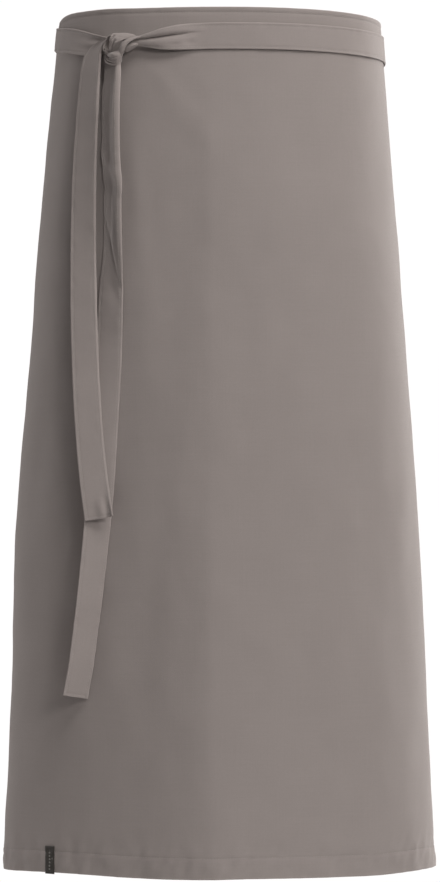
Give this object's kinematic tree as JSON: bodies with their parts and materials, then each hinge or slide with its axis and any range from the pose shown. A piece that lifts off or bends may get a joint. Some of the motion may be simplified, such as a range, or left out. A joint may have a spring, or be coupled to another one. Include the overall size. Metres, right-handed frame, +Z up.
{
  "type": "waist apron",
  "caption": "Long bistro waist apron of plain cloth, wrapped round the hips and tied at the front left, with the tie ends hanging.",
  "frame": {"origin": "middle of the waist opening, level with the middle of the tie at the front", "axes": "+Z up towards the top edge, -Y out of the front, +X to the right in a front view"},
  "size_m": [0.4611, 0.2473, 0.9006],
  "materials": {
    "panel_cloth": "plain woven poly-cotton, matt",
    "tie_cloth": "plain woven poly-cotton, folded and stitched",
    "label_weave": "fine woven tape, matt"
  },
  "bodies": {
    "root": {"apron_panel": "panel_cloth", "tie_round_right": "tie_cloth", "tie_round_left": "tie_cloth", "knot": "tie_cloth", "short_tail": "tie_cloth", "long_tail": "tie_cloth", "hem_label": "label_weave"}
  },
  "joints": []
}
